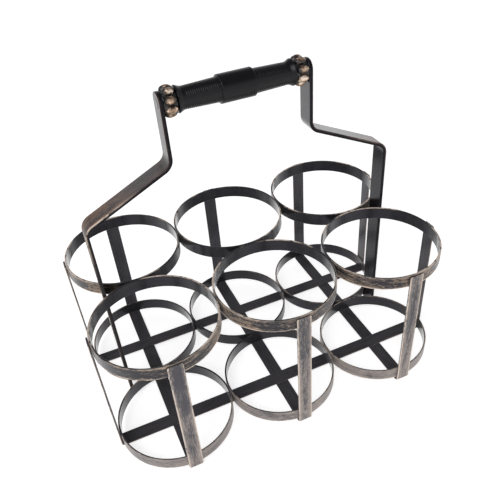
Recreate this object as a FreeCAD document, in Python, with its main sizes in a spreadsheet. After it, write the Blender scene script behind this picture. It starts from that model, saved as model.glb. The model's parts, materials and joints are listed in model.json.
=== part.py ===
import FreeCAD, Part
import math
import os
import Sketcher
from FreeCAD import Placement, Rotation, Vector

# A six-pocket bottle caddy in millimetres, +Z up: strip rings, U straps and a bent flat-bar handle.
# X runs along the three columns of pockets and Y across the two rows, from the front to the rear.
# The origin is the middle of the underside, on the surface that the caddy stands on.
# Strips that are welded together stand one weld gap apart.

doc = FreeCAD.newDocument("bottle_caddy")
sheet = doc.addObject("Spreadsheet::Sheet", "Sizes")

# Driving dimensions: name, value and meaning
SIZES = (
    ("ring_bore", 83.4, "inside diameter of a pocket ring"),
    ("ring_wall", 1.3, "thickness of a ring's strip"),
    ("ring_height", 9.8, "height of a ring's strip"),
    ("tier_spacing", 94.5, "from the underside of a lower ring to that of the upper ring"),
    ("strap_width", 10.3, "width of a strap's strip"),
    ("strap_wall", 1.3, "thickness of a strap's strip"),
    ("strap_bend_radius", 1.6, "inside radius of a strap's bends"),
    ("tip_drop", 0.8, "from the top of the rings down to a strap's tips"),
    ("weld_gap", 0.1, "clearance between two welded strips"),
    ("bar_width", 13.8, "width of the handle's flat bar"),
    ("bar_wall", 2.6, "thickness of the handle's flat bar"),
    ("bar_edge_round", 0.5, "radius of the flat bar's rolled edges"),
    ("bar_bend_radius", 7.5, "inside radius of the handle's bends"),
    ("bar_end_round", 6.0, "corner radius of the bar's top end"),
    ("shoulder_rise", 54.1, "from the top of the rings to the outer corner of the shoulder"),
    ("shoulder_angle", 25.5, "angle of the shoulder to the floor, in degrees"),
    ("riser_spread", 101.0, "across the outer faces of the two risers"),
    ("grip_rise", 38.9, "from the inner corner of the shoulder to the axis of the grip"),
    ("rod_diameter", 6.0, "tie rod through the grip and both risers"),
    ("fit_gap", 0.05, "clearance of the grip's pieces on the rod and end to end"),
    ("collar_length", 9.0, "length of a collar along the grip"),
    ("collar_core", 13.6, "diameter of a collar between its lobes"),
    ("collar_reach", 19.6, "diameter over a collar's lobes"),
    ("lobe_radius", 2.6, "radius of one lobe about its own length"),
    ("lobe_length", 8.2, "length of one lobe along the grip"),
    ("lobe_count", 8, "lobes round a collar"),
    ("band_length", 23.0, "length of the grip's middle band"),
    ("band_proud", 1.2, "height of the middle band over the neck"),
    ("band_round", 0.7, "edge radius of the middle band"),
    ("neck_diameter", 15.6, "diameter of the grip beside the middle band"),
    ("half_taper", 0.7, "how far the radius falls from the neck to the waist"),
    ("bell_length", 3.8, "length of the bell at each end of the grip"),
    ("bell_flare", 1.85, "how far the radius grows from the waist to the bell's mouth"),
    ("bell_round", 4.5, "radius that leads into the bell"),
    ("lip_round", 0.7, "edge radius of the bell's mouth"),
)
for row, (alias, value, meaning) in enumerate(SIZES, 1):
    sheet.set(f"A{row}", alias)
    sheet.set(f"B{row}", str(value))
    sheet.set(f"C{row}", meaning)
    sheet.setAlias(f"B{row}", alias)

HALF_TURN = 180
QUARTER_TURN = 90

# Rings and straps: places worked out from the driving dimensions
RING_RADIUS = "(Sizes.ring_bore / 2 + Sizes.ring_wall)"
PITCH = f"(2 * {RING_RADIUS} + Sizes.weld_gap)"
LONG_STRAP_BASE = "(Sizes.strap_wall + Sizes.weld_gap)"
# A lower ring hangs high enough for its outer corner to clear the inside of a strap's bend.
BEND_CHORD = "sqrt(2 * Sizes.strap_bend_radius * Sizes.weld_gap - Sizes.weld_gap ^ 2)"
RING_LIFT = f"(Sizes.strap_bend_radius - {BEND_CHORD} + Sizes.weld_gap)"
LOWER_RING_BASE = f"({LONG_STRAP_BASE} + Sizes.strap_wall + {RING_LIFT})"
UPPER_RING_BASE = f"({LOWER_RING_BASE} + Sizes.tier_spacing)"
CAGE_TOP = f"({UPPER_RING_BASE} + Sizes.ring_height)"
TIP_TOP = f"({CAGE_TOP} - Sizes.tip_drop)"

# Handle: a leg's two inner edges, which are round, lie against the end rings of both rows
EDGE_ROUND_SHARE = 0.45  # most of the bar's thickness that one of its edges may take
EDGE_ROUND = f"min(Sizes.bar_edge_round; Sizes.bar_wall * {EDGE_ROUND_SHARE})"
CUSP_DEPTH = f"({PITCH} / 2 - Sizes.bar_width / 2 + {EDGE_ROUND})"
CUSP_REACH = f"({RING_RADIUS} + Sizes.weld_gap + {EDGE_ROUND})"
LEG_INNER = f"({PITCH} + sqrt({CUSP_REACH} ^ 2 - {CUSP_DEPTH} ^ 2) - {EDGE_ROUND})"
LEG_OUTER = f"({LEG_INNER} + Sizes.bar_wall)"
RISER_OUTER = "(Sizes.riser_spread / 2)"
RISER_INNER = f"({RISER_OUTER} - Sizes.bar_wall)"
SLOPE = "(Sizes.shoulder_angle * 1 deg)"
MITRE_DROP = f"(Sizes.bar_wall * tan(({QUARTER_TURN} deg - {SLOPE}) / 2))"
SHOULDER_BASE = f"({CAGE_TOP} + Sizes.shoulder_rise)"
RISER_BASE = f"({SHOULDER_BASE} + ({LEG_OUTER} - {RISER_OUTER}) * tan({SLOPE}))"
GRIP_AXIS = f"({RISER_BASE} + Sizes.grip_rise)"
BAR_TOP = f"({GRIP_AXIS} + Sizes.bar_width / 2)"

# Grip: the pieces fill the room between the risers, one fit gap apart
ROD_BORE = "(Sizes.rod_diameter / 2 + Sizes.fit_gap)"
COLLAR_START = f"({RISER_INNER} - Sizes.fit_gap - Sizes.collar_length)"
GRIP_END = f"({COLLAR_START} - Sizes.fit_gap)"
LOBE_ORBIT = "(Sizes.collar_reach / 2 - Sizes.lobe_radius)"
LOBE_TURN = f"({HALF_TURN} deg / Sizes.lobe_count)"
NECK_RADIUS = "(Sizes.neck_diameter / 2)"
BAND_RADIUS = f"({NECK_RADIUS} + Sizes.band_proud)"
WAIST_RADIUS = f"({NECK_RADIUS} - Sizes.half_taper)"
BELL_RADIUS = f"({WAIST_RADIUS} + Sizes.bell_flare)"

END_ROUND_SHARE = 0.49  # most of the bar's width that one corner of its end may take
BAND_ROUND_SHARE = 0.9  # most of the band's height that its edge radius may take
LIP_ROUND_SHARE = 0.4  # most of the bell's flare that the edge radius of its mouth may take
SAME_PLACE = 0.001  # two points this close are taken as one
UP = Vector(0, 0, 1)
pieces = []


def new_body(label, x="0", y="0", z="0", turn=0):
    """A body that becomes one piece, turned about Z and moved to a bound place."""
    body = doc.addObject("PartDesign::Body", label)
    body.Label = label
    body.Placement = Placement(Vector(), Rotation(UP, turn))
    for axis, place in zip("xyz", (x, y, z)):
        body.setExpression(f"Placement.Base.{axis}", place)
    pieces.append(body)
    return body


def datum(body, role):
    """One of the body's own origin planes or axes."""
    return next(item for item in body.Origin.OriginFeatures if item.Role == role)


def new_sketch(body, role, name):
    sketch = body.newObject("Sketcher::SketchObject", name)
    sketch.AttachmentSupport = [(datum(body, role), "")]
    sketch.MapMode = "FlatFace"
    return sketch


def bind(sketch, constraint, formula):
    """Add a sketch constraint and tie its value to a formula on the sheet."""
    index = sketch.addConstraint(constraint)
    sketch.setExpression(f"Constraints[{index}]", formula)


def add_circle(sketch, radius, across="0", up="0"):
    circle = sketch.addGeometry(Part.Circle(Vector(), UP, 1))
    bind(sketch, Sketcher.Constraint("Radius", circle, 1), radius)
    bind(sketch, Sketcher.Constraint("DistanceX", -1, 1, circle, 3, 0), across)
    bind(sketch, Sketcher.Constraint("DistanceY", -1, 1, circle, 3, 0), up)


def add_outline(sketch, corners):
    """A closed outline of straight runs, each corner bound to its pair of formulas."""
    count = len(corners)
    angles = [2 * math.pi * index / count for index in range(count)]
    start = [Vector(math.cos(angle), math.sin(angle), 0) for angle in angles]
    for index in range(count):
        sketch.addGeometry(Part.LineSegment(start[index], start[(index + 1) % count]))
    for index, (across, up) in enumerate(corners):
        sketch.addConstraint(Sketcher.Constraint("Coincident", (index - 1) % count, 2, index, 1))
        bind(sketch, Sketcher.Constraint("DistanceX", -1, 1, index, 1, start[index].x), across)
        bind(sketch, Sketcher.Constraint("DistanceY", -1, 1, index, 1, start[index].y), up)


def round_corners(body, sketch, outline, corners, radius, name, closed=False):
    """Fillet the edges of the body's last feature that pass through corners of its outline."""
    doc.recompute()
    base = body.Tip
    starts = [sketch.Geometry[outline.index(corner)].StartPoint for corner in corners]
    spots = [Part.Vertex(sketch.Placement.multVec(start)) for start in starts]
    edges = [
        f"Edge{number}"
        for number, edge in enumerate(base.Shape.Edges, 1)
        if edge.isClosed() == closed and any(edge.distToShape(spot)[0] < SAME_PLACE for spot in spots)
    ]
    fillet = body.newObject("PartDesign::Fillet", name)
    fillet.Base = (base, edges)
    fillet.setExpression("Radius", radius)


def padded(body, sketch, length, name, symmetric=False):
    pad = body.newObject("PartDesign::Pad", name)
    pad.Profile = sketch
    pad.SideType = "Symmetric" if symmetric else "One side"
    pad.setExpression("Length", length)


def pocket_ring(label, x, y, z):
    """A hoop of flat strip that holds one bottle."""
    body = new_body(label, x, y, z)
    sketch = new_sketch(body, "XY_Plane", f"{label}_strip")
    add_circle(sketch, "Sizes.ring_bore / 2")
    add_circle(sketch, RING_RADIUS)
    padded(body, sketch, "Sizes.ring_height", f"{label}_pad")


def u_strap(label, reach, base, x="0", y="0", turn=0):
    """A strip bent up at both ends: a bar below the rings and an upright outside the end rings."""
    inner = f"({reach} + Sizes.weld_gap)"
    outer = f"({inner} + Sizes.strap_wall)"
    floor = f"({base} + Sizes.strap_wall)"
    body = new_body(label, x, y, turn=turn)
    sketch = new_sketch(body, "XZ_Plane", f"{label}_strip")
    heels = ((f"-{outer}", base), (outer, base))
    right_tip = ((outer, TIP_TOP), (inner, TIP_TOP))
    crooks = ((inner, floor), (f"-{inner}", floor))
    left_tip = ((f"-{inner}", TIP_TOP), (f"-{outer}", TIP_TOP))
    outline = heels + right_tip + crooks + left_tip
    add_outline(sketch, outline)
    padded(body, sketch, "Sizes.strap_width", f"{label}_pad", symmetric=True)
    heel_radius = "Sizes.strap_bend_radius + Sizes.strap_wall"
    round_corners(body, sketch, outline, crooks, "Sizes.strap_bend_radius", f"{label}_inner_bends")
    round_corners(body, sketch, outline, heels, heel_radius, f"{label}_outer_bends")


def handle_leg(label, turn):
    """Flat bar from the lower rings up past the cage, in over the shoulder and up to the grip."""
    body = new_body(label, turn=turn)
    sketch = new_sketch(body, "XZ_Plane", f"{label}_bar")
    foot = ((LEG_INNER, LOWER_RING_BASE), (LEG_OUTER, LOWER_RING_BASE))
    shoulder_outside = (LEG_OUTER, SHOULDER_BASE)
    knee_inside = (RISER_OUTER, RISER_BASE)
    tip = ((RISER_OUTER, BAR_TOP), (RISER_INNER, BAR_TOP))
    knee_outside = (RISER_INNER, f"{RISER_BASE} - {MITRE_DROP}")
    shoulder_inside = (LEG_INNER, f"{SHOULDER_BASE} - {MITRE_DROP}")
    outline = foot + (shoulder_outside, knee_inside) + tip + (knee_outside, shoulder_inside)
    add_outline(sketch, outline)
    padded(body, sketch, "Sizes.bar_width", f"{label}_pad", symmetric=True)
    inside_bends = (knee_inside, shoulder_inside)
    outside_bends = (shoulder_outside, knee_outside)
    outside_radius = "Sizes.bar_bend_radius + Sizes.bar_wall"
    round_corners(body, sketch, outline, inside_bends, "Sizes.bar_bend_radius", f"{label}_inner_bends")
    round_corners(body, sketch, outline, outside_bends, outside_radius, f"{label}_outer_bends")
    round_bar_end(body, label)
    round_bar_edges(body, label)
    hole = new_sketch(body, "YZ_Plane", f"{label}_rod_hole")
    add_circle(hole, ROD_BORE, up=GRIP_AXIS)
    pocket = body.newObject("PartDesign::Pocket", f"{label}_pocket")
    pocket.Profile = hole
    pocket.Type = "ThroughAll"
    pocket.Reversed = True


def round_bar_end(body, label):
    """Round the two corners of the bar's top end."""
    doc.recompute()
    base = body.Tip
    top = base.Shape.BoundBox.ZMax
    corners = [
        f"Edge{number}"
        for number, edge in enumerate(base.Shape.Edges, 1)
        if top - edge.BoundBox.ZMin < SAME_PLACE and edge.BoundBox.YLength < SAME_PLACE
    ]
    fillet = body.newObject("PartDesign::Fillet", f"{label}_end")
    fillet.Base = (base, corners)
    fillet.setExpression("Radius", f"min(Sizes.bar_end_round; Sizes.bar_width * {END_ROUND_SHARE})")


def round_bar_edges(body, label):
    """Round the long edges of the bar, which run on round its top end."""
    doc.recompute()
    base = body.Tip
    long_edges = [
        f"Edge{number}"
        for number, edge in enumerate(base.Shape.Edges, 1)
        if edge.BoundBox.YLength < SAME_PLACE < edge.BoundBox.ZLength
    ]
    fillet = body.newObject("PartDesign::Fillet", f"{label}_edges")
    fillet.Base = (base, long_edges)
    fillet.setExpression("Radius", EDGE_ROUND)


def mirrored(corner):
    """The corner on the other half of the grip."""
    across, up = corner
    return (f"-{across}", up)


def grip_spindle(label):
    """Turned grip with a middle band, tapered halves and a bell at each end, bored for the rod."""
    body = new_body(label, z=GRIP_AXIS)
    sketch = new_sketch(body, "XZ_Plane", f"{label}_profile")
    band = "(Sizes.band_length / 2)"
    bell = f"({GRIP_END} - Sizes.bell_length)"
    band_edge = (band, BAND_RADIUS)
    waist = (bell, WAIST_RADIUS)
    lip = (GRIP_END, BELL_RADIUS)
    half = (band_edge, (band, NECK_RADIUS), waist, lip, (GRIP_END, ROD_BORE))
    outline = half + tuple(mirrored(corner) for corner in reversed(half))
    add_outline(sketch, outline)
    turned = body.newObject("PartDesign::Revolution", f"{label}_turned")
    turned.Profile = sketch
    turned.ReferenceAxis = (datum(body, "X_Axis"), [""])
    band_edges = (band_edge, mirrored(band_edge))
    waists = (waist, mirrored(waist))
    lips = (lip, mirrored(lip))
    band_round = f"min(Sizes.band_round; Sizes.band_proud * {BAND_ROUND_SHARE})"
    round_corners(body, sketch, outline, band_edges, band_round, f"{label}_band_edges", closed=True)
    lip_round = f"min(Sizes.lip_round; Sizes.bell_flare * {LIP_ROUND_SHARE})"
    round_corners(body, sketch, outline, waists, "Sizes.bell_round", f"{label}_bell_roots", closed=True)
    round_corners(body, sketch, outline, lips, lip_round, f"{label}_bell_lips", closed=True)


def lobed_collar(label, turn):
    """Ring of egg-shaped lobes between the grip's bell and the riser, a gap between two lobes on top."""
    across = COLLAR_START if turn == 0 else f"-{COLLAR_START}"
    body = new_body(label, across, z=GRIP_AXIS, turn=turn)
    sketch = new_sketch(body, "YZ_Plane", f"{label}_core")
    add_circle(sketch, ROD_BORE)
    add_circle(sketch, "Sizes.collar_core / 2")
    padded(body, sketch, "Sizes.collar_length", f"{label}_pad")
    lobe = body.newObject("PartDesign::AdditiveEllipsoid", f"{label}_lobe")
    lobe.AttachmentSupport = [(datum(body, "YZ_Plane"), "")]
    lobe.MapMode = "FlatFace"
    lobe.setExpression("Radius1", "Sizes.lobe_length / 2")
    lobe.setExpression("Radius2", "Sizes.lobe_radius")
    lobe.setExpression("Radius3", "Sizes.lobe_radius")
    lobe.setExpression("AttachmentOffset.Base.x", f"{LOBE_ORBIT} * sin({LOBE_TURN})")
    lobe.setExpression("AttachmentOffset.Base.y", f"{LOBE_ORBIT} * cos({LOBE_TURN})")
    lobe.setExpression("AttachmentOffset.Base.z", "Sizes.collar_length / 2")
    doc.recompute()
    lobes = body.newObject("PartDesign::PolarPattern", f"{label}_lobes")
    lobes.Originals = [lobe]
    lobes.Axis = (datum(body, "X_Axis"), [""])
    lobes.setExpression("Occurrences", "Sizes.lobe_count")
    body.Tip = lobes


def tie_rod(label):
    """Rod through both risers, its ends riveted flush with their outer faces."""
    rod = doc.addObject("Part::Cylinder", label)
    rod.Label = label
    rod.Placement = Placement(Vector(), Rotation(Vector(0, 1, 0), QUARTER_TURN))
    rod.setExpression("Radius", "Sizes.rod_diameter / 2")
    rod.setExpression("Height", "Sizes.riser_spread")
    rod.setExpression("Placement.Base.x", f"-{RISER_OUTER}")
    rod.setExpression("Placement.Base.z", GRIP_AXIS)
    pieces.append(rod)


COLUMNS = (("left", f"-{PITCH}"), ("middle", "0"), ("right", PITCH))
ROWS = (("front", f"-{PITCH} / 2"), ("rear", f"{PITCH} / 2"))
TIERS = (("lower", LOWER_RING_BASE), ("upper", UPPER_RING_BASE))
SIDES = (("right", 0), ("left", HALF_TURN))
LONG_REACH = f"({PITCH} + {RING_RADIUS})"
CROSS_REACH = f"({PITCH} / 2 + {RING_RADIUS})"

for tier, ring_base in TIERS:
    for row_name, row_place in ROWS:
        for column, column_place in COLUMNS:
            pocket_ring(f"{tier}_ring_{row_name}_{column}", column_place, row_place, ring_base)
for row_name, row_place in ROWS:
    u_strap(f"long_strap_{row_name}", LONG_REACH, LONG_STRAP_BASE, y=row_place)
for column, column_place in COLUMNS:
    u_strap(f"cross_strap_{column}", CROSS_REACH, "0", x=column_place, turn=QUARTER_TURN)
for side, side_turn in SIDES:
    handle_leg(f"handle_leg_{side}", side_turn)
    lobed_collar(f"grip_collar_{side}", side_turn)
grip_spindle("grip_spindle")
tie_rod("tie_rod")

doc.recompute()
failed = [item.Name for item in doc.Objects if "Invalid" in item.State or "Error" in item.State]
unsound = [piece.Label for piece in pieces if piece.Shape.isNull() or not piece.Shape.isValid()]
if failed or unsound:
    raise RuntimeError(f"failed objects: {failed}, unsound pieces: {unsound}")

os.makedirs("parts", exist_ok=True)
for piece in pieces:
    piece.Shape.exportStep(os.path.join("parts", f"{piece.Label}.step"))
    top = piece.Shape.BoundBox.ZMax
    print(f"{piece.Label}: {len(piece.Shape.Solids)} solid, {piece.Shape.Volume:.1f} mm3, top {top:.2f} mm")
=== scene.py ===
import json
import math
from types import SimpleNamespace

import bpy
from mathutils import Matrix, Vector

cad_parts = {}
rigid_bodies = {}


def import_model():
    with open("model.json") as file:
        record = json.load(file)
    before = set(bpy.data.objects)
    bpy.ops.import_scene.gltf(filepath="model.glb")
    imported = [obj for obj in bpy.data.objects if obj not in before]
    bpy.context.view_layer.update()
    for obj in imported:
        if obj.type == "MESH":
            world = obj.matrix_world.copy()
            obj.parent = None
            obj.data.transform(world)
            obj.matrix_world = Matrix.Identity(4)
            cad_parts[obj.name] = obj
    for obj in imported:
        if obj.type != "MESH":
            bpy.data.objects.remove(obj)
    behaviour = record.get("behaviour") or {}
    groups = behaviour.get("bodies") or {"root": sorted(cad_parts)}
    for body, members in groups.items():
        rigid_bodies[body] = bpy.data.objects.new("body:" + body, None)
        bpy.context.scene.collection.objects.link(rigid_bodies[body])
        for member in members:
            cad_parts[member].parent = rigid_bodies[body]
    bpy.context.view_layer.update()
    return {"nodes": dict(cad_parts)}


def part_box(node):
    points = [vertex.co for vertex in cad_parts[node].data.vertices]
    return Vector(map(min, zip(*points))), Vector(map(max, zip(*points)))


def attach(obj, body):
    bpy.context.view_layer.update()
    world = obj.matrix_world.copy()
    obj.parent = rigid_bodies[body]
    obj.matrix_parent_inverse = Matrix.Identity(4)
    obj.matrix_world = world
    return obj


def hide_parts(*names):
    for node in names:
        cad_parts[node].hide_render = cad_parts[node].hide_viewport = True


# Looks of a six-pocket bottle caddy: black painted strip with bronze rubbed over its edges and outer faces.
# Lengths are in metres and colours are linear light.

for item in list(bpy.data.objects):
    bpy.data.objects.remove(item)
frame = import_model()

# Strip and bar sizes that the frame's boxes don't give
RING_WALL = 0.0013
STRAP_WALL = 0.0013
STRAP_BEND = 0.0016
BAR_WALL = 0.0026
BAR_BEND = 0.0075
SHOULDER_ANGLE = math.radians(25.5)
SHOULDER_RISE = 0.0541
STRIP_EDGE_ROUND = 0.0003
BAR_EDGE_ROUND = 0.0005
STRAP_TIP_ROUND = 0.0007
BAR_TIP_ROUND = 0.006
BAR_FOOT_ROUND = 0.0009
STRAP_STEP = 0.0007
BAR_STEP = 0.0004
RING_STEPS = 220
BEND_STEPS = 12
EDGE_STEPS = 4
GRAIN_RATIO = 7.0

# Grip and collar sizes
ROD_BORE = 0.00305
COLLAR_CORE = 0.0068
COLLAR_EDGE_ROUND = 0.0005
LOBE_REACH = 0.0098
LOBE_RADIUS = 0.0026
LOBE_LENGTH = 0.0082
LOBE_COUNT = 8
LOBE_BLEND = 0.0003
BAND_HALF = 0.0115
BAND_RADIUS = 0.009
BAND_ROUND = 0.0007
NECK_RADIUS = 0.0078
WAIST_RADIUS = 0.0071
BELL_LENGTH = 0.0038
BELL_RADIUS = 0.00895
BELL_ROUND = 0.0045
BELL_LIP_ROUND = 0.0007
RIB_PITCH = 0.0013
RIB_DEPTH = 0.00016
RIB_MARGIN = 0.0015
GRIP_STEPS = 72
GRIP_STEP = 0.00016
COLLAR_STEPS = 192
COLLAR_STEP = 0.0002
RIVET_PROUD = 0.00015
ROD_STEPS = 48
ROD_STEP = 0.001

X_AXIS = (1.0, 0.0, 0.0)
Y_AXIS = (0.0, 1.0, 0.0)
Z_AXIS = (0.0, 0.0, 1.0)
HALF = 0.5
QUARTER_TURN = math.pi / 2
FULL_TURN = math.pi * 2


def opposite(axis):
    return tuple(-part for part in axis)


class Wire:
    """A socket of a node tree. Arithmetic on wires and numbers adds Math nodes."""

    def __init__(self, tree, socket=None):
        self.tree = tree
        self.socket = socket

    def node(self, kind, settings=None, sockets=None, output=0):
        """Add a node: its settings first, then the values or links of its sockets."""
        node = self.tree.nodes.new(kind)
        for name, value in (settings or {}).items():
            setattr(node, name, value)
        for key, value in (sockets or {}).items():
            if isinstance(value, Wire):
                self.tree.links.new(value.socket, node.inputs[key])
            else:
                node.inputs[key].default_value = value
        return Wire(self.tree, node.outputs[output]) if node.outputs else None

    def math(self, operation, *others):
        return self.node("ShaderNodeMath", {"operation": operation}, dict(enumerate((self, *others))))

    def step(self, low, high):
        """0 below low and 1 above high, with a smooth rise between them."""
        settings = {"interpolation_type": "SMOOTHSTEP"}
        return self.node("ShaderNodeMapRange", settings, {"Value": self, "From Min": low, "From Max": high})

    def part(self, axis):
        """One coordinate of a vector."""
        return self.node("ShaderNodeSeparateXYZ", sockets={0: self}, output=axis)

    def moved(self, other):
        """A sum of vectors."""
        return self.node("ShaderNodeVectorMath", {"operation": "ADD"}, {0: self, 1: other})

    def scaled(self, factor):
        """A vector times a number."""
        return self.node("ShaderNodeVectorMath", {"operation": "SCALE"}, {0: self, "Scale": factor})

    def __add__(self, other):
        return self.math("ADD", other)

    __radd__ = __add__

    def __sub__(self, other):
        return self.math("SUBTRACT", other)

    def __rsub__(self, other):
        return self.math("MULTIPLY_ADD", -1.0, other)

    def __mul__(self, other):
        return self.math("MULTIPLY", other)

    __rmul__ = __mul__

    def __truediv__(self, other):
        return self.math("DIVIDE", other)

    def __rtruediv__(self, other):
        return self.math("POWER", -1.0) * other


# Geometry trees

FLOAT = "NodeSocketFloat"
WHOLE = "NodeSocketInt"
VECTOR = "NodeSocketVector"
MATERIAL = "NodeSocketMaterial"
GEOMETRY = "NodeSocketGeometry"


def new_tree(name, **inputs):
    """A geometry tree and the wires of its named inputs."""
    tree = bpy.data.node_groups.new(name, "GeometryNodeTree")
    tree.interface.new_socket("shape", in_out="OUTPUT", socket_type=GEOMETRY)
    for label, kind in inputs.items():
        tree.interface.new_socket(label, in_out="INPUT", socket_type=kind)
    source = tree.nodes.new("NodeGroupInput")
    return {socket.name: Wire(tree, socket) for socket in source.outputs if socket.name}


def close_tree(shape, material):
    """End a tree with real, smooth geometry in one material."""
    real = shape.node("GeometryNodeRealizeInstances", sockets={"Geometry": shape})
    smooth = real.node("GeometryNodeSetShadeSmooth", sockets={"Geometry": real})
    finished = smooth.node("GeometryNodeSetMaterial", sockets={"Geometry": smooth, "Material": material})
    finished.node("NodeGroupOutput", sockets={"shape": finished})
    return shape.tree


def kept(shape, name, value, data_type="FLOAT"):
    """Keep a value on the shape's points, for its material or for a later node."""
    settings = {"data_type": data_type, "domain": "POINT"}
    sockets = {"Geometry": shape, "Name": name, "Value": value}
    return shape.node("GeometryNodeStoreNamedAttribute", settings, sockets)


def recalled(shape, name):
    return shape.node("GeometryNodeInputNamedAttribute", {"data_type": "FLOAT"}, {"Name": name})


def placed(shape, centre):
    return shape.node("GeometryNodeTransform", sockets={"Geometry": shape, "Translation": centre})


def bent(path):
    """Round each corner of the path by the radius that its point carries."""
    sockets = {"Curve": path, "Count": BEND_STEPS, "Radius": path.node("GeometryNodeInputRadius")}
    return path.node("GeometryNodeFilletCurve", {"mode": "POLY"}, {**sockets, "Limit Radius": True})


def resampled(path, step):
    return path.node("GeometryNodeResampleCurve", {"mode": "LENGTH"}, {"Curve": path, "Length": step})


def swept(path, section, across):
    """Sweep a section whose first axis follows across and whose second axis points outward."""
    turned = path.node("GeometryNodeSetCurveNormal", {"mode": "FREE"}, {"Curve": path, "Normal": across})
    sockets = {"Curve": turned, "Profile Curve": section, "Fill Caps": True}
    return path.node("GeometryNodeCurveToMesh", sockets=sockets)


def strip_section(width, wall, edge_round):
    """A strip's section with rounded edges, which keeps the place across the width and through the wall."""
    flat = width.node("GeometryNodeCurvePrimitiveQuadrilateral", sockets={"Width": width, "Height": wall})
    sockets = {"Curve": flat, "Count": EDGE_STEPS, "Radius": edge_round, "Limit Radius": True}
    section = flat.node("GeometryNodeFilletCurve", {"mode": "POLY"}, sockets)
    place = section.node("GeometryNodeInputPosition")
    section = kept(section, "across", place.part("X") / (width * HALF))
    return kept(section, "outward", place.part("Y") / (wall * HALF))


def grained(shape, across):
    """Keep a place that is drawn out across the strip, so that noise read from it runs along the strip."""
    place = shape.node("GeometryNodeInputPosition")
    settings = {"operation": "DOT_PRODUCT"}
    reach = place.node("ShaderNodeVectorMath", settings, {0: place, 1: across}, output="Value")
    return kept(shape, "grain", place.moved(across.scaled(reach * (GRAIN_RATIO - 1.0))), "FLOAT_VECTOR")


def rounded_end(shape, across, to_end, corner):
    """Draw a strip's edges in towards one end, so that its corners are round."""
    to_end = recalled(shape, to_end)
    short = corner - to_end.math("MINIMUM", corner)
    inset = (corner * corner - short * short).math("SQRT") - corner
    shift = across.scaled(inset * recalled(shape, "across"))
    return shape.node("GeometryNodeSetPosition", sockets={"Geometry": shape, "Offset": shift})


def bent_strip_tree():
    """Flat strip along a path of straight runs and bends."""
    sizes = dict.fromkeys(("width", "wall", "edge_round", "foot_round", "tip_round", "step"), FLOAT)
    given = new_tree("bent_strip", path=GEOMETRY, **sizes, across=VECTOR, material=MATERIAL)
    across = given["across"]
    path = resampled(bent(given["path"]), given["step"])
    so_far = path.node("GeometryNodeSplineParameter", output="Length")
    whole = path.node("GeometryNodeSplineLength", output="Length")
    path = kept(kept(path, "to_foot", so_far), "to_tip", whole - so_far)
    shape = swept(path, strip_section(given["width"], given["wall"], given["edge_round"]), across)
    shape = rounded_end(shape, across, "to_foot", given["foot_round"])
    shape = rounded_end(shape, across, "to_tip", given["tip_round"])
    return close_tree(grained(shape, across), given["material"])


def pocket_ring_tree():
    """Flat strip rolled into a hoop about Z."""
    sizes = dict.fromkeys(("outside", "wall", "height", "edge_round"), FLOAT)
    given = new_tree("pocket_ring", **sizes, steps=WHOLE, centre=VECTOR, across=VECTOR, material=MATERIAL)
    radius = (given["outside"] - given["wall"]) * HALF
    sockets = {"Resolution": given["steps"], "Radius": radius}
    path = radius.node("GeometryNodeCurvePrimitiveCircle", sockets=sockets)
    shape = swept(path, strip_section(given["height"], given["wall"], given["edge_round"]), given["across"])
    return close_tree(grained(placed(shape, given["centre"]), given["across"]), given["material"])


def turned(outline, steps, bore):
    """Turn an outline, drawn along X with its radius as Y, about the X axis."""
    low = bore.node("ShaderNodeCombineXYZ", sockets={"Y": bore * -1.0})
    circle = outline.node("GeometryNodeCurvePrimitiveCircle", sockets={"Resolution": steps, "Radius": bore})
    sockets = {"Geometry": circle, "Rotation": (QUARTER_TURN, 0.0, QUARTER_TURN)}
    return swept(outline.node("GeometryNodeTransform", sockets=sockets), placed(outline, low), X_AXIS)


def axis_distance(place):
    """How far a place is from the X axis."""
    return (place.part("Y") * place.part("Y") + place.part("Z") * place.part("Z")).math("SQRT")


def pushed_out(shape, growth):
    """Move points away from the X axis."""
    place = shape.node("GeometryNodeInputPosition")
    radius = axis_distance(place)
    sockets = {axis: place.part(axis) / radius for axis in "YZ"}
    spoke = place.node("ShaderNodeCombineXYZ", sockets=sockets)
    return shape.node("GeometryNodeSetPosition", sockets={"Geometry": shape, "Offset": spoke.scaled(growth)})


def ribbed_grip_tree():
    """Turned grip with fine ribs round each of its halves."""
    rib = ("rib_pitch", "rib_depth", "rib_start", "rib_end", "rib_margin")
    sizes = dict.fromkeys(("bore", "step", *rib), FLOAT)
    given = new_tree("ribbed_grip", path=GEOMETRY, **sizes, steps=WHOLE, centre=VECTOR, material=MATERIAL)
    shape = turned(resampled(bent(given["path"]), given["step"]), given["steps"], given["bore"])
    place = shape.node("GeometryNodeInputPosition")
    along = place.part("X").math("ABSOLUTE")
    margin = given["rib_margin"]
    ribbed = along.step(given["rib_start"], given["rib_start"] + margin)
    ribbed = ribbed * (1.0 - along.step(given["rib_end"] - margin, given["rib_end"]))
    ribbed = ribbed * axis_distance(place).math("GREATER_THAN", given["bore"] + margin)
    wave = (along * FULL_TURN / given["rib_pitch"]).math("COSINE") * HALF - HALF
    shape = pushed_out(shape, wave * given["rib_depth"] * ribbed)
    return close_tree(placed(shape, given["centre"]), given["material"])


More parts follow.
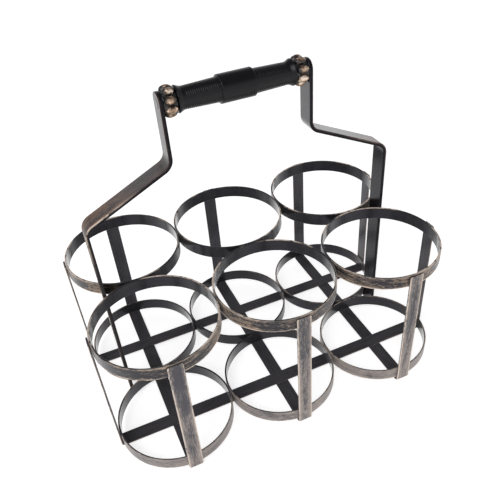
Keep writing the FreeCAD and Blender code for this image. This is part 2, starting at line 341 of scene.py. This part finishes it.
def lobed_collar_tree():
    """Turned collar with a row of egg-shaped lobes round it, a gap between two lobes on top."""
    lobe = ("lobe_reach", "lobe_radius", "lobe_length", "lobe_blend")
    sizes = dict.fromkeys(("bore", "core", "step", *lobe), FLOAT)
    counts = dict.fromkeys(("steps", "lobe_count"), WHOLE)
    given = new_tree("lobed_collar", path=GEOMETRY, **sizes, **counts, centre=VECTOR, material=MATERIAL)
    shape = turned(resampled(bent(given["path"]), given["step"]), given["steps"], given["bore"])
    place = shape.node("GeometryNodeInputPosition")
    radius = axis_distance(place)
    spacing = FULL_TURN / given["lobe_count"]
    turn = place.part("Y").math("ARCTAN2", place.part("Z")) / spacing
    lean = (turn.math("FRACT") - HALF) * spacing
    middle = given["lobe_reach"] - given["lobe_radius"]
    aside = middle * lean.math("SINE")
    along = place.part("X") / given["lobe_length"] * given["lobe_radius"] / HALF
    inside = given["lobe_radius"] * given["lobe_radius"] - along * along - aside * aside
    ball = middle * lean.math("COSINE") + inside.math("MAXIMUM", 0.0).math("SQRT")
    grown = radius.math("SMOOTH_MAX", ball, given["lobe_blend"]) - radius
    outside = radius.math("GREATER_THAN", given["core"] - given["lobe_blend"])
    shape = pushed_out(shape, grown * inside.math("GREATER_THAN", 0.0) * outside)
    shape = kept(shape, "proud", (radius - given["core"]) / (given["lobe_reach"] - given["core"]))
    return close_tree(placed(shape, given["centre"]), given["material"])


def riveted_rod_tree():
    """Round rod along a straight path."""
    given = new_tree("riveted_rod", path=GEOMETRY, radius=FLOAT, step=FLOAT, steps=WHOLE, material=MATERIAL)
    sockets = {"Resolution": given["steps"], "Radius": given["radius"]}
    section = given["radius"].node("GeometryNodeCurvePrimitiveCircle", sockets=sockets)
    return close_tree(swept(resampled(given["path"], given["step"]), section, Z_AXIS), given["material"])


# Finishes

CHARCOAL = (0.0120, 0.0112, 0.0150, 1.0)
INK = (0.0045, 0.0044, 0.0060, 1.0)
SOOT = (0.0060, 0.0056, 0.0078, 1.0)
RIVET_BLACK = (0.0200, 0.0165, 0.0175, 1.0)
HAZE = (0.0960, 0.0910, 0.1010, 1.0)
PALE_BRONZE = (0.3900, 0.3350, 0.2980, 1.0)
GOLD_BRONZE = (0.3600, 0.2620, 0.1780, 1.0)
BROWN_BRONZE = (0.2300, 0.1260, 0.0720, 1.0)
LOBE_BRONZE = (0.5400, 0.3700, 0.2500, 1.0)
# Cream of bronze rubbed through on edges, and also the colour of the painted highlights
RUBBED_EDGE_AND_HIGHLIGHT = (0.8600, 0.7200, 0.6000, 1.0)
COOL_GLOSS = (0.9000, 0.8700, 1.0000, 1.0)

# Gloss that is the same all over a finish
STRIP_GLOSS = {"Specular_IOR_Level": 0.3, "Specular_Tint": COOL_GLOSS, "Sheen_Weight": 0.2,
               "Coat_Roughness": 0.2}
BAR_GLOSS = {"Specular_IOR_Level": 0.12, "Specular_Tint": COOL_GLOSS, "Coat_Roughness": 0.26}
RIVET_GLOSS = {**BAR_GLOSS, "Roughness": 0.25, "Coat_Weight": 0.65}
COLLAR_GLOSS = {"Specular_IOR_Level": 0.5}
GRIP_GLOSS = {"Specular_IOR_Level": 0.25}

# Noise of the finishes: features per metre, fineness, and how much of each noise goes into the bronze
STREAK_SCALE = 60.0
FIBRE_SCALE = 260.0
PATCH_SCALE = 26.0
FLECK_SCALE = 600.0
MOTTLE_SCALE = 380.0
LOBE_PATCH_SCALE = 300.0
COARSE_DETAIL = 2.0
PLAIN_DETAIL = 3.0
FINE_DETAIL = 4.0
PLAIN_ROUGHNESS = 0.55
FIBRE_ROUGHNESS = 0.65
NOISE_SHARES = {"patch": 1.6, "streak": 1.5, "fibre": 1.8, "fleck": 0.5}

# Roughness and metal of the strips and bars: the paint's own, and what fibres, bronze and rims add
PAINT_ROUGHNESS = 0.16
FIBRE_ROUGHNESS_SHARE = 0.12
BRONZE_ROUGHNESS_SHARE = 0.25
BRONZE_METAL_SHARE = 0.2
RIM_METAL_SHARE = 0.15

# Bump: its depth in metres, its strength, and how much of each noise goes into that of the strips and bars
BUMP_DEPTH = 0.0002
STRIP_BUMP = 0.15
COLLAR_BUMP = 0.2
GRIP_BUMP = 0.12
FIBRE_BUMP_SHARE = 0.6
FLECK_BUMP_SHARE = 0.4

# Strips: the haze that is left between its streaks, and the brightness of the painted highlights in the
# bronze
THIN_HAZE_SHARE = 0.7
PAINTED_GLINT_SHARE = 0.5

# Bars: how bronze is brushed on, its share away from the bends, what bends and legs lose of it and of coat
BAR_BIAS = 0.4
BAR_EDGES = 0.2
BAR_CONTRAST = 1.8
BAR_BRONZE_SHARE = 0.22
CORNER_LOSS_SHARE = 0.3
DULLED_SHARE = 0.6

# Collars and grip: what brings bronze onto the lobes, its look there, and the roughness of the enamel
PROUD_SHARE = 0.8
BELOW_SHARE = 0.2
LOBE_PATCH_SHARE = 2.0
STAIN_SHARE = 0.3
LOBE_METAL_SHARE = 0.6
ENAMEL_ROUGHNESS = 0.2
WEAR_ROUGHNESS_SHARE = 0.14

# Ranges over which a mask rises from 0 to 1. Across a strip, in shares of its half width or half wall:
OUTER_RANGE = (0.0, 0.7)
BROAD_RANGE = (0.7, 0.95)
EDGE_RANGE = (0.2, 0.95)
RIM_RANGE = (0.78, 0.90)
BAR_RIM_RANGE = (0.90, 0.96)
SIDE_FACE_RANGE = (0.945, 0.975)

# In a noise, in a sum of masks and noises, and in how far a face turns from the eye:
TONE_RANGE = (0.30, 0.70)
FILM_RANGE = (0.30, 0.60)
WORN_RANGE = (0.36, 0.50)
BARE_RANGE = (0.47, 0.56)
PAINTED_GLINT_RANGE = (0.56, 0.70)
PAINTED_SPARK_RANGE = (0.56, 0.66)
WEAR_RANGE = (0.45, 0.80)
BRUSH_RANGE = (-0.3, 1.3)
STAIN_RANGE = (0.10, 0.60)
CROWN_RANGE = (0.45, 0.85)
GRAZING_RANGE = (0.35, 0.80)

# In place, in metres: along the row, outward along it or across it, towards the front, and up
ROW_RANGE = (-0.085, -0.010)
END_RANGE = (0.095, 0.115)
SLOPE_RANGE = (0.050, 0.060)
SHOULDER_RANGE = (0.070, 0.100)
CORNER_RANGE = (0.105, 0.128)
SIDE_RANGE = (0.035, 0.055)
FRONT_RANGE = (0.0, 0.004)
FOOT_RANGE = (0.010, 0.080)
HANDLE_RANGE = (0.125, 0.165)
COATED_RANGE = (0.158, 0.170)


def new_finish(name, **constants):
    """A material, its shader with the constants set on it, and a loose wire to build from."""
    material = bpy.data.materials.new(name)
    material.use_nodes = True
    shader = material.node_tree.nodes["Principled BSDF"]
    for label, value in constants.items():
        shader.inputs[label.replace("_", " ")].default_value = value
    return material, shader, Wire(material.node_tree)


def feed(shader, **wires):
    for label, wire in wires.items():
        wire.tree.links.new(wire.socket, shader.inputs[label.replace("_", " ")])


def noise(place, scale, detail=PLAIN_DETAIL, roughness=PLAIN_ROUGHNESS):
    sockets = {"Vector": place, "Scale": scale, "Detail": detail, "Roughness": roughness}
    return place.node("ShaderNodeTexNoise", {"noise_dimensions": "3D"}, sockets, output="Fac")


def mixed(factor, first, second):
    """One colour turning into another as the factor goes from 0 to 1."""
    # Names of this node's sockets repeat, so its colours go by number.
    sockets = {0: factor, 6: first, 7: second}
    return factor.node("ShaderNodeMix", {"data_type": "RGBA"}, sockets, output=2)


def attribute(wire, name, output):
    return wire.node("ShaderNodeAttribute", {"attribute_name": name}, output=output)


def bumped(height, strength):
    sockets = {"Strength": strength, "Distance": BUMP_DEPTH, "Height": height}
    return height.node("ShaderNodeBump", sockets=sockets)


def strip_marks(start):
    """The places, masks and noises that the strip finishes are made from."""
    place = start.node("ShaderNodeTexCoord", output="Object")
    grain = attribute(start, "grain", "Vector")
    across = attribute(start, "across", "Fac")
    outward = attribute(start, "outward", "Fac")
    marks = SimpleNamespace(place=place, across=across, edge=across.math("ABSOLUTE"))
    marks.outer = outward.step(*OUTER_RANGE)
    marks.broad = outward.math("ABSOLUTE").step(*BROAD_RANGE)
    marks.streak = noise(grain, STREAK_SCALE)
    marks.fibre = noise(grain, FIBRE_SCALE, roughness=FIBRE_ROUGHNESS)
    marks.patch = noise(place, PATCH_SCALE, detail=COARSE_DETAIL)
    marks.fleck = noise(place, FLECK_SCALE, detail=COARSE_DETAIL)
    return marks


def dry_brushed(marks, bias, edges, contrast):
    """How much bronze is brushed on: more towards the strip's edges, and broken up by the noises."""
    amount = marks.edge.step(*EDGE_RANGE) * edges + bias
    for name, share in NOISE_SHARES.items():
        amount = amount + (getattr(marks, name) - HALF) * (share * contrast)
    return amount.step(*BRUSH_RANGE) * marks.outer


def rubbed_rims(marks, low_rim, high_rim, reach):
    """Bright lines along the two edges of the outer face, worn through in places."""
    low_edge = (marks.across * -1.0).step(*reach) * low_rim
    high_edge = marks.across.step(*reach) * high_rim
    worn = ((marks.patch + marks.fibre) * HALF).step(*WORN_RANGE)
    return (low_edge + high_edge) * marks.outer * worn


def black_paint(marks):
    return mixed(marks.streak.step(*TONE_RANGE), SOOT, CHARCOAL)


def satin(shader, marks, colour, brushed, rim):
    """Feed the shader of a strip finish: rougher under the bronze, more like metal there and on the rims."""
    roughness = PAINT_ROUGHNESS + marks.fibre * FIBRE_ROUGHNESS_SHARE + brushed * BRONZE_ROUGHNESS_SHARE
    height = marks.fibre * FIBRE_BUMP_SHARE + marks.fleck * FLECK_BUMP_SHARE
    feed(shader, Base_Color=colour, Metallic=brushed * BRONZE_METAL_SHARE + rim * RIM_METAL_SHARE)
    feed(shader, Roughness=roughness, Normal=bumped(height, STRIP_BUMP))


def rubbed_strip(name, tint, haze, inner_haze, bias, foot, row, edges, contrast, low_rim, high_rim, bare,
                 coat):
    """Satin black strip, hazed and dry-brushed with bronze where it faces out of the caddy.

    The bias gives bronze all over, foot adds some near the ground and row along the row of pockets.
    """
    material, shader, start = new_finish(name, **STRIP_GLOSS)
    marks = strip_marks(start)
    ends = marks.place.part("X").math("ABSOLUTE").step(*END_RANGE)
    sides = marks.place.part("Y").math("ABSOLUTE").step(*SIDE_RANGE)
    outside = ends.math("MAXIMUM", sides)
    # The haze film; on the lower rings and on the straps' inner faces it is laid on heavier as painted light
    film = (marks.outer * outside * haze).math("MAXIMUM", inner_haze)
    film = film * (marks.streak.step(*FILM_RANGE) * (1.0 - THIN_HAZE_SHARE) + THIN_HAZE_SHARE)
    near_foot = 1.0 - marks.place.part("Z").step(*FOOT_RANGE)
    along_row = marks.place.part("X").step(*ROW_RANGE) * row
    amount = along_row + near_foot * (foot - along_row) + bias
    brushed = dry_brushed(marks, amount, edges, contrast) * outside
    # Painted highlights: cream specks on the brushed bronze where the fibre noise is high
    painted_glint = brushed * marks.fibre.step(*PAINTED_GLINT_RANGE) * PAINTED_GLINT_SHARE
    rim = rubbed_rims(marks, low_rim, high_rim, RIM_RANGE) * outside
    chipped = marks.patch.step(*BARE_RANGE) * marks.fibre.step(*WORN_RANGE) * bare
    rim = rim.math("MAXIMUM", marks.edge.step(*SIDE_FACE_RANGE) * chipped)
    colour = mixed(film, black_paint(marks), HAZE)
    colour = mixed(brushed, colour, tint)
    # Rims of rubbed bronze and the painted highlights share one cream colour
    colour = mixed(rim.math("MAXIMUM", painted_glint), colour, RUBBED_EDGE_AND_HIGHLIGHT)
    satin(shader, marks, colour, brushed, rim)
    facing = start.node("ShaderNodeLayerWeight", sockets={"Blend": HALF}, output="Facing")
    feed(shader, Coat_Weight=facing.step(*GRAZING_RANGE) * (1.0 - marks.outer) * coat)
    return material


def rubbed_bar(name, brown, rim, side_lightening, leg_coat, slope_coat, riser_coat):
    """Glossier black bar, faintly bronzed, browner over the shoulder's lower bend, bright on an edge there.

    The side faces of the leg are made paler, and the coat differs between leg, slope and riser.
    """
    material, shader, start = new_finish(name, **BAR_GLOSS)
    marks = strip_marks(start)
    handle = marks.place.part("Z").step(*HANDLE_RANGE)
    aside = marks.place.part("X").math("ABSOLUTE")
    bend = aside.step(*SHOULDER_RANGE) * handle
    corner = aside.step(*CORNER_RANGE)
    front = (marks.place.part("Y") * -1.0).step(*FRONT_RANGE)
    brushed = dry_brushed(marks, BAR_BIAS, BAR_EDGES, BAR_CONTRAST)
    brushed = brushed * (bend * brown + BAR_BRONZE_SHARE) * (1.0 - corner * CORNER_LOSS_SHARE)
    bright = rubbed_rims(marks, rim, rim, BAR_RIM_RANGE) * bend * front
    film = marks.edge.step(*SIDE_FACE_RANGE) * corner * side_lightening
    colour = mixed(film, black_paint(marks), PALE_BRONZE)
    colour = mixed(brushed, colour, BROWN_BRONZE)
    colour = mixed(bright, colour, RUBBED_EDGE_AND_HIGHLIGHT)
    satin(shader, marks, colour, brushed, bright)
    handle_coat = aside.step(*SLOPE_RANGE) * (slope_coat - riser_coat) + (riser_coat - leg_coat)
    coat = marks.place.part("Z").step(*COATED_RANGE) * handle_coat + leg_coat
    dulled = (bend + corner) * (brown * DULLED_SHARE)
    feed(shader, Coat_Weight=marks.broad * coat * (1.0 - dulled))
    return material


def black_rivet():
    """Semi-gloss black like that of the bars, for the rod whose ends show in them."""
    return new_finish("black_rivet", Base_Color=RIVET_BLACK, **RIVET_GLOSS)[0]


def rubbed_collar():
    """Gloss black collar, browned round its lobes, with bronze rubbed on their crowns and painted highlights
    on it.
    """
    material, shader, start = new_finish("rubbed_collar", **COLLAR_GLOSS)
    place = start.node("ShaderNodeTexCoord", output="Object")
    proud = attribute(start, "proud", "Fac")
    patch = noise(place, LOBE_PATCH_SCALE)
    axis = sum(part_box("grip_spindle"), Vector()).z / 2
    # Bronze also grows towards the bottom of the collar, so the lower lobes are lighter
    below = (axis - place.part("Z")) / LOBE_REACH
    rubbed = proud * PROUD_SHARE + below * BELOW_SHARE + (patch - HALF) * LOBE_PATCH_SHARE
    bronze = rubbed.step(*CROWN_RANGE)
    colour = mixed(rubbed.step(*STAIN_RANGE) * STAIN_SHARE, INK, BROWN_BRONZE)
    colour = mixed(bronze, colour, LOBE_BRONZE)
    # Painted highlights: cream specks on the bronze where the lobe noise is highest
    colour = mixed(bronze * patch.step(*PAINTED_SPARK_RANGE), colour, RUBBED_EDGE_AND_HIGHLIGHT)
    feed(shader, Base_Color=colour, Metallic=bronze * LOBE_METAL_SHARE)
    feed(shader, Roughness=ENAMEL_ROUGHNESS + patch * WEAR_ROUGHNESS_SHARE, Normal=bumped(patch, COLLAR_BUMP))
    return material


def black_grip():
    """Gloss black enamel with a faint wear on the ribs."""
    material, shader, start = new_finish("black_grip", **GRIP_GLOSS)
    place = start.node("ShaderNodeTexCoord", output="Object")
    mottle = noise(place, MOTTLE_SCALE, detail=FINE_DETAIL)
    feed(shader, Base_Color=mixed(mottle.step(*WEAR_RANGE), INK, SOOT))
    feed(shader, Roughness=ENAMEL_ROUGHNESS + mottle * WEAR_ROUGHNESS_SHARE, Normal=bumped(mottle, GRIP_BUMP))
    return material


# Pieces

def corner_path(corners, cyclic=False):
    """An object whose curve has straight runs between corners, each with the radius of its bend."""
    curve = bpy.data.curves.new("path", "CURVE")
    curve.dimensions = "3D"
    spline = curve.splines.new("POLY")
    spline.points.add(len(corners) - 1)
    spline.use_cyclic_u = cyclic
    for point, (corner, radius) in zip(spline.points, corners):
        point.co = (*corner, 1.0)
        point.radius = radius
    return bpy.data.objects.new("path", curve)


def made(name, tree, base, **values):
    """Run a tree on a path and keep the result as a plain mesh piece."""
    bpy.context.scene.collection.objects.link(base)
    modifier = base.modifiers.new(tree.name, "NODES")
    modifier.node_group = tree
    inputs = [item for item in tree.interface.items_tree if item.in_out == "INPUT"]
    identifiers = {item.name: item.identifier for item in inputs}
    for label, value in values.items():
        modifier[identifiers[label]] = value
    evaluated = base.evaluated_get(bpy.context.evaluated_depsgraph_get())
    mesh = bpy.data.meshes.new_from_object(evaluated)
    bpy.data.objects.remove(base)
    mesh.name = name
    piece = bpy.data.objects.new(name, mesh)
    bpy.context.scene.collection.objects.link(piece)
    weighted = piece.modifiers.new("face_normals", "WEIGHTED_NORMAL")
    weighted.keep_sharp = True
    return piece


def stands_for(piece, node):
    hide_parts(node)
    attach(piece, "root")


def pocket_rings(tree, tier, material):
    for node in sorted(frame["nodes"]):
        if not node.startswith(f"{tier}_ring_"):
            continue
        low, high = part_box(node)
        base = bpy.data.objects.new("start", bpy.data.meshes.new("start"))
        sizes = {"outside": high.x - low.x, "wall": RING_WALL, "height": high.z - low.z}
        centre = tuple((low + high) / 2)
        piece = made(f"{node}_hoop", tree, base, **sizes, edge_round=STRIP_EDGE_ROUND, steps=RING_STEPS,
                     centre=centre, across=Z_AXIS, material=material)
        stands_for(piece, node)


def u_straps(tree, material):
    """Bars below the rings with an upright at each end."""
    for node in sorted(frame["nodes"]):
        if "_strap_" not in node:
            continue
        low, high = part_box(node)
        lengthwise = node.startswith("long")
        run = Vector(X_AXIS if lengthwise else Y_AXIS)
        across = opposite(Y_AXIS) if lengthwise else X_AXIS
        middle = (low + high) / 2
        reach = (high - low).dot(run) / 2 - STRAP_WALL / 2
        ground = low.z + STRAP_WALL / 2
        bend = STRAP_BEND + STRAP_WALL / 2
        foot = Vector((middle.x, middle.y, ground))
        head = Vector((middle.x, middle.y, high.z))
        corners = ((head - run * reach, 0.0), (foot - run * reach, bend), (foot + run * reach, bend),
                   (head + run * reach, 0.0))
        width = abs((high - low).dot(Vector(across)))
        piece = made(f"{node}_strip", tree, corner_path(corners), width=width, wall=STRAP_WALL,
                     edge_round=STRIP_EDGE_ROUND, foot_round=STRAP_TIP_ROUND, tip_round=STRAP_TIP_ROUND,
                     step=STRAP_STEP, across=across, material=material)
        stands_for(piece, node)


def handle_legs(tree, materials):
    """Flat bars up from the lower rings, in over the shoulders and up to the grip."""
    cage_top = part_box("upper_ring_front_left")[1].z
    for side, across in ((1, opposite(Y_AXIS)), (-1, Y_AXIS)):
        node = "handle_leg_right" if side > 0 else "handle_leg_left"
        material = materials[node]
        low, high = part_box(node)
        leg = max(abs(low.x), abs(high.x)) - BAR_WALL / 2
        riser = min(abs(low.x), abs(high.x)) + BAR_WALL / 2
        mitre_drop = BAR_WALL * math.tan(QUARTER_TURN / 2 - SHOULDER_ANGLE / 2)
        shoulder = cage_top + SHOULDER_RISE - mitre_drop / 2
        knee = shoulder + (leg - riser) * math.tan(SHOULDER_ANGLE)
        bend = BAR_BEND + BAR_WALL / 2
        corners = (((side * leg, 0.0, low.z), 0.0), ((side * leg, 0.0, shoulder), bend),
                   ((side * riser, 0.0, knee), bend), ((side * riser, 0.0, high.z), 0.0))
        piece = made(f"{node}_bar", tree, corner_path(corners), width=high.y - low.y, wall=BAR_WALL,
                     edge_round=BAR_EDGE_ROUND, foot_round=BAR_FOOT_ROUND, tip_round=BAR_TIP_ROUND,
                     step=BAR_STEP, across=across, material=material)
        stands_for(piece, node)


def grip(material):
    low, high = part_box("grip_spindle")
    end = high.x
    bell = end - BELL_LENGTH
    half = ((BAND_HALF, BAND_RADIUS, BAND_ROUND), (BAND_HALF, NECK_RADIUS, 0.0),
            (bell, WAIST_RADIUS, BELL_ROUND), (end, BELL_RADIUS, BELL_LIP_ROUND), (end, ROD_BORE, 0.0))
    other_half = tuple((-along, radius, bend) for along, radius, bend in reversed(half))
    corners = tuple(((along, radius, 0.0), bend) for along, radius, bend in half + other_half)
    piece = made("grip_spindle_turned", ribbed_grip_tree(), corner_path(corners, cyclic=True), bore=ROD_BORE,
                 step=GRIP_STEP, rib_pitch=RIB_PITCH, rib_depth=RIB_DEPTH, rib_start=BAND_HALF, rib_end=bell,
                 rib_margin=RIB_MARGIN, steps=GRIP_STEPS, centre=tuple((low + high) / 2), material=material)
    stands_for(piece, "grip_spindle")


def grip_collars(material):
    tree = lobed_collar_tree()
    for node in ("grip_collar_left", "grip_collar_right"):
        low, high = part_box(node)
        end = (high.x - low.x) / 2
        corners = (((end, COLLAR_CORE, 0.0), COLLAR_EDGE_ROUND), ((end, ROD_BORE, 0.0), 0.0),
                   ((-end, ROD_BORE, 0.0), 0.0), ((-end, COLLAR_CORE, 0.0), COLLAR_EDGE_ROUND))
        piece = made(f"{node}_lobes", tree, corner_path(corners, cyclic=True), bore=ROD_BORE,
                     core=COLLAR_CORE, step=COLLAR_STEP, steps=COLLAR_STEPS, lobe_count=LOBE_COUNT,
                     lobe_reach=LOBE_REACH, lobe_radius=LOBE_RADIUS, lobe_length=LOBE_LENGTH,
                     lobe_blend=LOBE_BLEND, centre=tuple((low + high) / 2), material=material)
        stands_for(piece, node)


def tie_rod(material):
    """Rod through the grip, its ends riveted a little proud of the risers."""
    low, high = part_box("tie_rod")
    middle = (low + high) / 2
    reach = Vector(X_AXIS) * ((high.x - low.x) / 2 + RIVET_PROUD)
    corners = ((middle - reach, 0.0), (middle + reach, 0.0))
    piece = made("tie_rod_riveted", riveted_rod_tree(), corner_path(corners), radius=(high.z - low.z) / 2,
                 step=ROD_STEP, steps=ROD_STEPS, material=material)
    stands_for(piece, "tie_rod")


ring_tree = pocket_ring_tree()
strip_tree = bent_strip_tree()
upper_paint = rubbed_strip("rubbed_upper_ring", GOLD_BRONZE, haze=0.1, inner_haze=0.0, bias=0.1, foot=0.0,
                           row=0.0, edges=0.2, contrast=2.3, low_rim=1.0, high_rim=0.3, bare=0.75, coat=0.9)
# Lower rings: rubbed pale bronze and haze all over, laid on heavier as painted light from below
lower_paint_with_underlight = rubbed_strip("rubbed_and_underlit_lower_ring", PALE_BRONZE, haze=1.0, inner_haze=0.0, bias=0.65, foot=0.0,
                           row=0.0, edges=0.2, contrast=1.2, low_rim=0.8, high_rim=0.0, bare=0.3, coat=0.9)
# Straps: the inner haze on faces that look up and into the caddy is partly haze and partly painted light from
# above
strap_paint = rubbed_strip("rubbed_strap", PALE_BRONZE, haze=0.75, inner_haze=0.5, bias=-0.28, foot=0.78,
                           row=0.42, edges=0.7, contrast=1.2, low_rim=0.9, high_rim=0.9, bare=0.15, coat=0.45)
pocket_rings(ring_tree, "upper", upper_paint)
pocket_rings(ring_tree, "lower", lower_paint_with_underlight)
u_straps(strip_tree, strap_paint)
left_bar = rubbed_bar("rubbed_bar_left", brown=0.8, rim=0.8, side_lightening=0.4, leg_coat=0.0, slope_coat=1.0,
                      riser_coat=0.4)
right_bar = rubbed_bar("rubbed_bar_right", brown=0.5, rim=0.1, side_lightening=0.0, leg_coat=0.4, slope_coat=1.0,
                       riser_coat=0.95)
handle_legs(strip_tree, {"handle_leg_left": left_bar, "handle_leg_right": right_bar})
grip(black_grip())
grip_collars(rubbed_collar())
tie_rod(black_rivet())

# Floor, light and camera

FLOOR_SIZE = 12.0
FLOOR_COLOUR = (0.80, 0.80, 0.80, 1.0)
FLOOR_LIFT = (0.66, 0.66, 0.66, 1.0)
FLOOR_GLOSS = {"Roughness": 1.0, "Specular_IOR_Level": 0.0, "Emission_Strength": 1.0}
BLACK = (0.0, 0.0, 0.0, 1.0)
TENT_COLOUR = (0.985, 0.98, 1.0, 1.0)
TENT_LIGHT = 0.9
CEILING_LIGHT = 0.22
CEILING_START = 0.2
CEILING_END = 0.75
KEY_PLACE = (-0.9, -0.8, 1.5)
KEY_SIZE = 1.2
KEY_POWER = 15.0
EYE = (-0.1205, -0.3180, 0.3671)
VIEW_AHEAD = (0.2802, 0.7370, -0.6151)
VIEW_RIGHT = (0.9128, -0.4029, -0.0670)
LENS = 41.38
NEAR_CLIP = 0.01
SENSOR = 36.0


def seen_rays(start):
    """1 for rays that show a surface: straight to the camera, mirrored or through glass."""
    straight = start.node("ShaderNodeLightPath", output="Is Camera Ray")
    mirrored = start.node("ShaderNodeLightPath", output="Is Glossy Ray")
    through = start.node("ShaderNodeLightPath", output="Is Transmission Ray")
    return straight.math("MAXIMUM", mirrored).math("MAXIMUM", through)


def white_tent():
    world = bpy.data.worlds.new("white_tent")
    world.use_nodes = True
    bpy.context.scene.world = world
    background = world.node_tree.nodes["Background"]
    background.inputs["Color"].default_value = TENT_COLOUR
    start = Wire(world.node_tree)
    height = start.node("ShaderNodeTexCoord", output="Generated").part("Z")
    level = 1.0 - height.step(CEILING_START, CEILING_END) * (1.0 - CEILING_LIGHT)
    strength = (seen_rays(start) * (1.0 - TENT_LIGHT) + TENT_LIGHT) * level
    world.node_tree.links.new(strength.socket, background.inputs["Strength"])


def pale_floor():
    material, shader, start = new_finish("pale_floor", Base_Color=FLOOR_COLOUR, **FLOOR_GLOSS)
    feed(shader, Emission_Color=mixed(seen_rays(start), BLACK, FLOOR_LIFT))
    mesh = bpy.data.meshes.new("floor")
    reach = FLOOR_SIZE / 2
    corners = [(-reach, -reach, 0.0), (reach, -reach, 0.0), (reach, reach, 0.0), (-reach, reach, 0.0)]
    mesh.from_pydata(corners, [], [(0, 1, 2, 3)])
    mesh.materials.append(material)
    floor = bpy.data.objects.new("floor", mesh)
    bpy.context.scene.collection.objects.link(floor)


def soft_key():
    light = bpy.data.lights.new("soft_key", "AREA")
    light.size = KEY_SIZE
    light.energy = KEY_POWER
    lamp = bpy.data.objects.new("soft_key", light)
    lamp.location = KEY_PLACE
    lamp.rotation_euler = (-Vector(KEY_PLACE)).to_track_quat("-Z", "Y").to_euler()
    bpy.context.scene.collection.objects.link(lamp)


def photo_camera():
    ahead = Vector(VIEW_AHEAD).normalized()
    right = Vector(VIEW_RIGHT)
    right = (right - ahead * right.dot(ahead)).normalized()
    up = right.cross(ahead)
    data = bpy.data.cameras.new("camera")
    data.lens = LENS
    data.sensor_width = SENSOR
    data.clip_start = NEAR_CLIP
    camera = bpy.data.objects.new("camera", data)
    turn = Matrix((right, up, -ahead)).transposed().to_4x4()
    camera.matrix_world = Matrix.Translation(EYE) @ turn
    bpy.context.scene.collection.objects.link(camera)
    bpy.context.scene.camera = camera


white_tent()
pale_floor()
soft_key()
photo_camera()
bpy.context.scene.view_settings.view_transform = "Standard"
